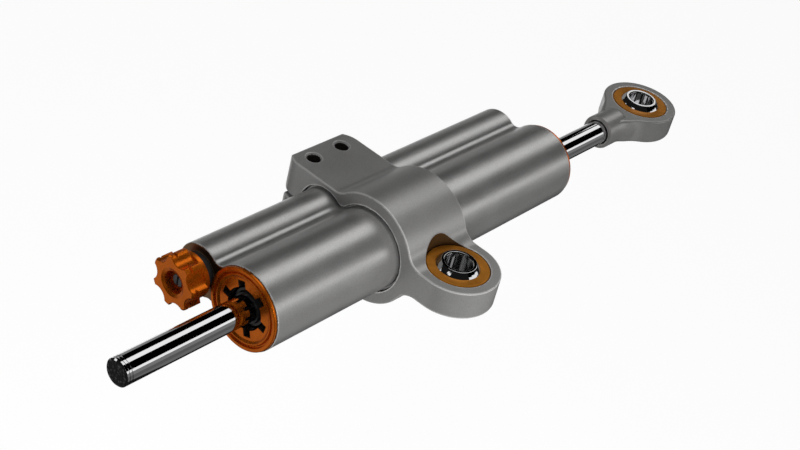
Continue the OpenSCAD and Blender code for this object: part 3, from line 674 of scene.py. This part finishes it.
def polished(name, colour, rough):
    """Ground and polished or chromed steel, with a trace of grinding lines"""
    shader = Shader(name)
    lines = shader.noise(0.35, detail=2, place=shader.stretch(1, 0.15, 0.15))
    gloss = shader.ramp(lines, [(0.35, rough * 0.8), (0.65, rough * 1.25)])
    shader.link(gloss, shader.main.inputs["Roughness"])
    cloud = shader.noise(5, detail=2)
    base = shader.ramp(cloud, [(0.3, tinted(colour, 0.96)), (0.7, colour)])
    shader.link(base, shader.main.inputs["Base Color"])
    shader.set(Metallic=1.0)
    return shader.material


def sawn(name, colour, rough):
    """The dark, pitted end face of the rod"""
    shader = Shader(name)
    pits = shader.noise(0.8, detail=3, rough=0.7)
    base = shader.ramp(pits, [(0.52, tinted(colour, 0.2)), (0.68, tinted(colour, 12))])
    shader.link(base, shader.main.inputs["Base Color"])
    shader.link(shader.bump(pits, 0.12), shader.main.inputs["Normal"])
    shader.set(Metallic=0.8, Roughness=rough)
    return shader.material


def moulded(name, colour, rough, grain=0.3, relief=0.01):
    """Black plastic, rubber or blackened steel with a fine grain"""
    shader = Shader(name)
    fine = shader.noise(grain, detail=2)
    base = shader.ramp(fine, [(0.3, tinted(colour, 0.8)), (0.7, tinted(colour, 1.2))])
    shader.link(base, shader.main.inputs["Base Color"])
    gloss = shader.ramp(fine, [(0.3, rough - 0.05), (0.7, rough + 0.05)])
    shader.link(gloss, shader.main.inputs["Roughness"])
    shader.link(shader.bump(fine, relief), shader.main.inputs["Normal"])
    return shader.material


tube_axis, res_axis = (tube_y, 0.0), (res_y, res_z)
# Painted shade: a near-black finish laid on the walls of the cap's spanner hole, the clamp's tapped holes and
# the relief gap round the tube, where shade falls; the real walls are the pieces' own metal
painted_shade_black = moulded("painted shade in holes and gaps", (0.012, 0.009, 0.008), 0.3)
# Painted reflection and shade: the body's front end face is coloured dark brown for the orange cap and knob
# reflected in it and the shade between them
painted_reflection_end_face = blasted("end face with painted reflection and shade", (0.24, 0.14, 0.075), 0.3, metal=1.0)
knob_orange = turned("orange anodised knob", ORANGE, 0.27, shade=0.75, centre=res_axis,
                     spread=0.7, metal=0.9)
finishes = {
    "body_aluminium": blasted("blasted grey aluminium", (0.58, 0.576, 0.566), 0.34, metal=0.90),
    "clamp_aluminium": blasted("matte grey aluminium", (0.37, 0.367, 0.36), 0.39, painted_edge_highlight=2.1, metal=0.75,
                               painted_bore_reflection=True),
    "bare_aluminium": turned("bare aluminium", (0.62, 0.62, 0.62), 0.3, centre=tube_axis),
    "orange_anodised": turned("orange anodised aluminium", ORANGE, 0.27, shade=0.75, centre=tube_axis,
                              spread=0.7, metal=0.9),
    "hard_chrome": polished("hard chrome", (0.80, 0.80, 0.81), 0.05),
    "ball_steel": polished("polished ball steel", (0.72, 0.72, 0.73), 0.06),
    "bright_steel": polished("bright steel", (0.62, 0.62, 0.63), 0.2),
    "black_steel": moulded("blackened steel", (0.05, 0.05, 0.052), 0.4),
    "bronze": turned("turned bronze", (0.58, 0.22, 0.022), 0.33, pitch=0.3, relief=0.004,
                     along="z", spread=0.5, metal=0.8),
    "seal_rubber": moulded("black nitrile rubber", (0.02, 0.02, 0.02), 0.55),
    "black_plastic": moulded("black scraper", (0.012, 0.012, 0.012), 0.35),
    "ring_plastic": moulded("piston ring plastic", (0.2, 0.12, 0.06), 0.5),
}


def dress(thing, slot, body, *nodes):
    """Gives a piece its finish, its body and the CAD nodes that it stands for"""
    thing.data.materials.clear()
    thing.data.materials.append(finishes[slot])
    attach(thing, body)
    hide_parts(*nodes)
    return thing


def refinish(piece, material, belongs):
    """Gives the faces that belong a finish of their own"""
    piece.data.materials.append(material)
    index = len(piece.data.materials) - 1
    for face in piece.data.polygons:
        if belongs(face.center / MM, face.normal):
            face.material_index = index


def circle_steps(count):
    return np.linspace(0, 2 * math.pi, count + 1)


# The pieces

pitch = 0.34


def make_body():
    grid = (fine_ends(body_x0, body_x1, 0.2, 2.5, 2.4),
            steps(tube_low[1], tube_high[1], pitch), steps(-TUBE_R, TUBE_R, pitch))
    piece = skin("twin_tube_body", body_field, grid)
    dress(piece, "body_aluminium", "housing", "body_housing")
    # Painted reflection and shade on the body's front end face
    refinish(piece, painted_reflection_end_face, lambda at, normal: normal.x < -0.9 and at.x < body_x0 + 0.3)


def make_clamp():
    grid = [steps(clamp_low[i], clamp_high[i], pitch * 0.8) for i in range(3)]
    piece = skin("clamp_with_lug", clamp_field, grid)
    dress(piece, "clamp_aluminium", "clamp", "clamp")
    # Painted shade: near-black on the walls of the tapped screw holes and in the relief gap where the tube
    # enters the clamp
    refinish(piece, painted_shade_black, lambda at, normal: at.z < block_top - 0.45
             and math.hypot(abs(at.x) - screw_x, at.y - screw_y) < TAP_R + 0.1)
    refinish(piece, painted_shade_black, lambda at, normal: abs(normal.x) < 0.8 and abs(at.x) > LUG_R - RELIEF_RUN
             and body_section(at.y, at.z) < RELIEF + 0.1)


def make_rod_end():
    grid = [steps(neck_low[i], neck_high[i], pitch * 0.8) for i in range(3)]
    dress(skin("rod_end_eye", rod_end_field, grid), "clamp_aluminium", "rod", "rod_end")


def make_cap(name, node, low, side, far):
    near = steps(0, SPANNER_DEPTH + 0.6, 0.1)
    along = np.concatenate([near, np.arange(near[-1] + 1, abs(far - low), 2.0), [abs(far - low) + 0.3]])
    along = np.sort(low + side * along)
    grid = (along, steps(ROD_R, CAP_R, 0.1), circle_steps(300))
    piece = skin(name, cap_field(low, side), grid, round_x(tube_y, 0.0), wrap=True)
    dress(piece, "orange_anodised", "housing", node)
    # Painted shade: near-black on the walls and floor of the spanner hole
    refinish(piece, painted_shade_black, lambda at, normal: side * (at.x - low) > GROOVE_D + 0.1
             and math.hypot(at.y - tube_y, at.z) < NOTCH_R + 0.1)


def make_knob():
    grid = (steps(knob_low[0], knob_high[0], 0.14), steps(1.6, KNOB_R, 0.14), circle_steps(280))
    piece = skin("lobed_knob", knob_field, grid, round_x(res_y, res_z), wrap=True)
    dress(piece, "orange_anodised", "knob", "adjuster_knob")
    piece.data.materials[0] = knob_orange


def make_rod():
    low, high = rod_low[0], rod_high[0]
    shoulder = neck_low[0] + NECK_MOUTH
    marks = []
    for i in (1, 0):
        at = low + 0.9 + 0.9 * i
        marks += [[at + 0.3, ROD_R], [at + 0.3, ROD_R - 0.12], [at, ROD_R - 0.12], [at, ROD_R]]
    outline = [[low, 0.0], [high, 0.0], [high, ROD_R - 1.0], [shoulder, ROD_R - 1.0], [shoulder, ROD_R],
               *marks, [low + 0.4, ROD_R], [low, ROD_R - 0.4]]
    piece = lathe("chromed_rod", outline, 0.08, (0, tube_y, 0), "x", on_axis=True)
    dress(piece, "hard_chrome", "rod", "piston_rod")
    refinish(piece, sawn("rod end face", (0.012, 0.012, 0.012), 0.5), lambda at, normal: at.x < low + 0.02)


def make_bearing(race_name, ball_name, race_node, ball_node, race_body, ball_body, x, y):
    half, top = race_w / 2, ball_w / 2
    seat = [[BALL_R * math.sin(a), BALL_R * math.cos(a)] for a in np.radians(np.linspace(-34.4, 34.4, 15))]
    gap = 0.04
    seat = [[u, r + gap] for u, r in seat if abs(u) < half]
    mouth = math.sqrt(BALL_R * BALL_R - half * half) + gap
    outline = [[-half, mouth], *seat, [half, mouth], [half, RACE_R - 0.3], [half - 0.3, RACE_R],
               [-half + 0.3, RACE_R], [-half, RACE_R - 0.3]][::-1]
    race = lathe(race_name, outline[::-1], 0.12, (x, y, 0), "z")
    dress(race, "bronze", race_body, race_node)
    reach = math.degrees(math.asin(top / BALL_R))
    crown = [[BALL_R * math.sin(a), BALL_R * math.cos(a)] for a in np.radians(np.linspace(reach, -reach, 41))]
    outline = [[-top, BORE_R + 0.4], [-top + 0.4, BORE_R], [top - 0.4, BORE_R], [top, BORE_R + 0.4], *crown]
    ball = lathe(ball_name, outline, 0.35, (x, y, 0), "z")
    dress(ball, "ball_steel", ball_body, ball_node)


def make_bushing():
    low, high = bush_low[0], bush_high[0]
    flange = (bush_high[1] - bush_low[1]) / 2
    outline = [[low, STEM_HOLE_R], [high, STEM_HOLE_R], [high, RES_BORE_R - 0.05],
               [body_x0, RES_BORE_R - 0.05], [body_x0, flange], [low, flange]]
    piece = lathe("adjuster_collar", outline, 0.2, (0, res_y, res_z), "x")
    dress(piece, "black_plastic", "housing", "adjuster_bushing")


def finish_nodes():
    """The CAD nodes that show as they are get their slot's finish"""
    slots = {part["node"]: part["material_slot"] for part in frame["record"]["subparts"]}
    for name, thing in frame["nodes"].items():
        if thing.hide_render:
            continue
        thing.data.materials.clear()
        thing.data.materials.append(finishes[slots[name]])


make_body()
make_clamp()
make_rod_end()
make_cap("front_end_cap", "front_cap", cap_low[0], 1, cap_high[0])
make_cap("rear_end_cap", "rear_cap", rear_high[0], -1, rear_low[0])
make_knob()
make_rod()
make_bearing("lug_bearing_race", "lug_bearing_ball", "lug_race", "lug_ball", "clamp", "lug_ball", 0.0, 0.0)
make_bearing("eye_bearing_race", "eye_bearing_ball", "rod_end_race", "rod_end_ball", "rod", "rod_end_ball",
             eye_x, tube_y)
make_bushing()
finish_nodes()


# Studio: a white surround with grey and black panels along the damper, as in a product studio

FLOOR_Z = -0.14
FLOOR_SIZE = 12
FLOOR_WHITE = 0.85
PANEL_R = 0.9
FAR_LEFT, MIDDLE, FAR_RIGHT = -0.8, 0.2, 2.2
# Each panel: from and to in degrees round the rod, from +Y towards +Z, its stretch along x, how light it is
PANELS = [
    (-16, 18, MIDDLE, FAR_RIGHT, 0.25),
    (18, 47, MIDDLE, FAR_RIGHT, 0.0),
    (47, 56, MIDDLE, 1.19, 0.0),
    (47, 56, 1.19, 1.36, 1.0),
    (47, 56, 1.36, FAR_RIGHT, 0.0),
    (56, 67, MIDDLE, FAR_RIGHT, 0.0),
    (99, 152, MIDDLE, FAR_RIGHT, 0.0),
    (170, 196, 0.0, FAR_RIGHT, 0.2),
    (196, 222, 0.0, FAR_RIGHT, 0.11),
    (222, 255, 0.0, FAR_RIGHT, 0.15),
    (255, 320, 0.0, FAR_RIGHT, 0.01),
    (-16, 14, FAR_LEFT, MIDDLE, 0.01),
    (14, 32, FAR_LEFT, -0.3, 1.0),
    (14, 32, -0.3, MIDDLE, 0.01),
    (32, 172, FAR_LEFT, MIDDLE, 0.01),
    (172, 285, FAR_LEFT, 0.0, 0.01),
    (285, 344, FAR_LEFT, -0.1, 0.38),
    (285, 344, -0.1, 0.0, 0.01),
]


def show_only_in_gloss(thing):
    thing.visible_camera = False
    thing.visible_diffuse = False
    thing.visible_shadow = False
    thing.visible_transmission = False


def glow(name, level):
    """A material of one even grey"""
    material = bpy.data.materials.new(name)
    material.use_nodes = True
    tree = material.node_tree
    tree.nodes.clear()
    light = tree.nodes.new("ShaderNodeEmission")
    light.inputs["Color"].default_value = (level, level, level, 1)
    out = tree.nodes.new("ShaderNodeOutputMaterial")
    tree.links.new(light.outputs["Emission"], out.inputs["Surface"])
    return material


def make_panels():
    for index, (start, end, x0, x1, level) in enumerate(PANELS):
        count = max(2, (end - start) // 6)
        points, faces = [], []
        for step in range(count + 1):
            angle = math.radians(start + (end - start) * step / count)
            reach = PANEL_R
            if math.sin(angle) < 0:
                reach = min(reach, (FLOOR_Z + 0.004) / math.sin(angle))
            y = tube_y * MM + reach * math.cos(angle)
            for x in (x0, x1):
                points.append((x, y, reach * math.sin(angle)))
            if step:
                k = 2 * step
                faces.append((k - 2, k - 1, k + 1, k))
        make_panel(f"panel_{index}", points, faces, level)


def make_panel(name, points, faces, level):
    mesh = bpy.data.meshes.new(name)
    mesh.from_pydata(points, [], faces)
    panel = bpy.data.objects.new(name, mesh)
    mesh.materials.append(glow(name, level))
    bpy.context.collection.objects.link(panel)
    show_only_in_gloss(panel)


def make_end_panel(name, x, across, up, level):
    points = [(x, across[0], up[0]), (x, across[1], up[0]), (x, across[1], up[1]), (x, across[0], up[1])]
    make_panel(name, points, [(0, 1, 2, 3)], level)


def seen_directly(tree):
    """Whether the camera sees a point directly or in metal or glass"""
    rays = tree.nodes.new("ShaderNodeLightPath")
    seen = rays.outputs["Is Camera Ray"]
    for name in ("Is Glossy Ray", "Is Transmission Ray"):
        add = tree.nodes.new("ShaderNodeMath")
        add.use_clamp = True
        tree.links.new(seen, add.inputs[0])
        tree.links.new(rays.outputs[name], add.inputs[1])
        seen = add.outputs[0]
    return seen


def whiten(tree, shader, amount):
    """Blends white into a surface where it is seen directly"""
    share = tree.nodes.new("ShaderNodeMath")
    share.operation = "MULTIPLY"
    share.inputs[1].default_value = amount
    tree.links.new(seen_directly(tree), share.inputs[0])
    white = tree.nodes.new("ShaderNodeEmission")
    mix = tree.nodes.new("ShaderNodeMixShader")
    tree.links.new(share.outputs[0], mix.inputs[0])
    tree.links.new(shader.outputs[0], mix.inputs[1])
    tree.links.new(white.outputs[0], mix.inputs[2])
    tree.links.new(mix.outputs[0], tree.nodes["Material Output"].inputs["Surface"])


def make_floor():
    mesh = bpy.data.meshes.new("floor")
    size = FLOOR_SIZE / 2
    corners = [(-size, -size), (size, -size), (size, size), (-size, size)]
    mesh.from_pydata([(x, y, FLOOR_Z) for x, y in corners], [], [(0, 1, 2, 3)])
    floor = bpy.data.objects.new("floor", mesh)
    material = bpy.data.materials.new("pale floor")
    material.use_nodes = True
    main = material.node_tree.nodes["Principled BSDF"]
    main.inputs["Base Color"].default_value = (0.93, 0.93, 0.93, 1)
    main.inputs["Roughness"].default_value = 0.9
    main.inputs["Specular IOR Level"].default_value = 0.0
    whiten(material.node_tree, main, FLOOR_WHITE)
    mesh.materials.append(material)
    bpy.context.collection.objects.link(floor)


def make_world():
    world = bpy.data.worlds.new("studio")
    world.use_nodes = True
    bpy.context.scene.world = world
    tree = world.node_tree
    tree.nodes.clear()
    lit, shown = tree.nodes.new("ShaderNodeBackground"), tree.nodes.new("ShaderNodeBackground")
    lit.inputs["Color"].default_value = (1, 1, 1, 1)
    lit.inputs["Strength"].default_value = 0.65
    shown.inputs["Color"].default_value = (1, 1, 1, 1)
    shown.inputs["Strength"].default_value = 1.0
    mix = tree.nodes.new("ShaderNodeMixShader")
    out = tree.nodes.new("ShaderNodeOutputWorld")
    tree.links.new(seen_directly(tree), mix.inputs[0])
    tree.links.new(lit.outputs[0], mix.inputs[1])
    tree.links.new(shown.outputs[0], mix.inputs[2])
    tree.links.new(mix.outputs[0], out.inputs["Surface"])


def make_lamp(name, place, size, power):
    data = bpy.data.lights.new(name, "AREA")
    data.shape = "RECTANGLE"
    data.size, data.size_y = size
    data.energy = power
    lamp = bpy.data.objects.new(name, data)
    lamp.location = place
    target = Vector((0, tube_y * MM, 0))
    lamp.rotation_euler = (target - lamp.location).to_track_quat("-Z", "Y").to_euler()
    bpy.context.collection.objects.link(lamp)
    lamp.visible_camera = False
    lamp.visible_glossy = False
    return lamp


make_world()
make_floor()
make_panels()
make_end_panel("left_panel", FAR_LEFT - 0.01, (-0.9, 0.9), (FLOOR_Z + 0.005, 0.9), 0.01)
make_end_panel("left_light", FAR_LEFT, (-0.08, 0.23), (0.6, 0.85), 1.0)
make_end_panel("left_low_light", FAR_LEFT, (-0.85, -0.35), (0.3, 0.5), 1.0)
make_end_panel("right_panel", FAR_RIGHT, (-0.9, 0.9), (FLOOR_Z + 0.005, 0.9), 0.01)
make_lamp("top softbox", (-0.15, 0.05, 0.7), (0.6, 0.35), 1.7)
make_lamp("lug light", (-0.06, -0.11, 0.02), (0.06, 0.06), 0.3)

bpy.context.scene.view_settings.view_transform = "Standard"
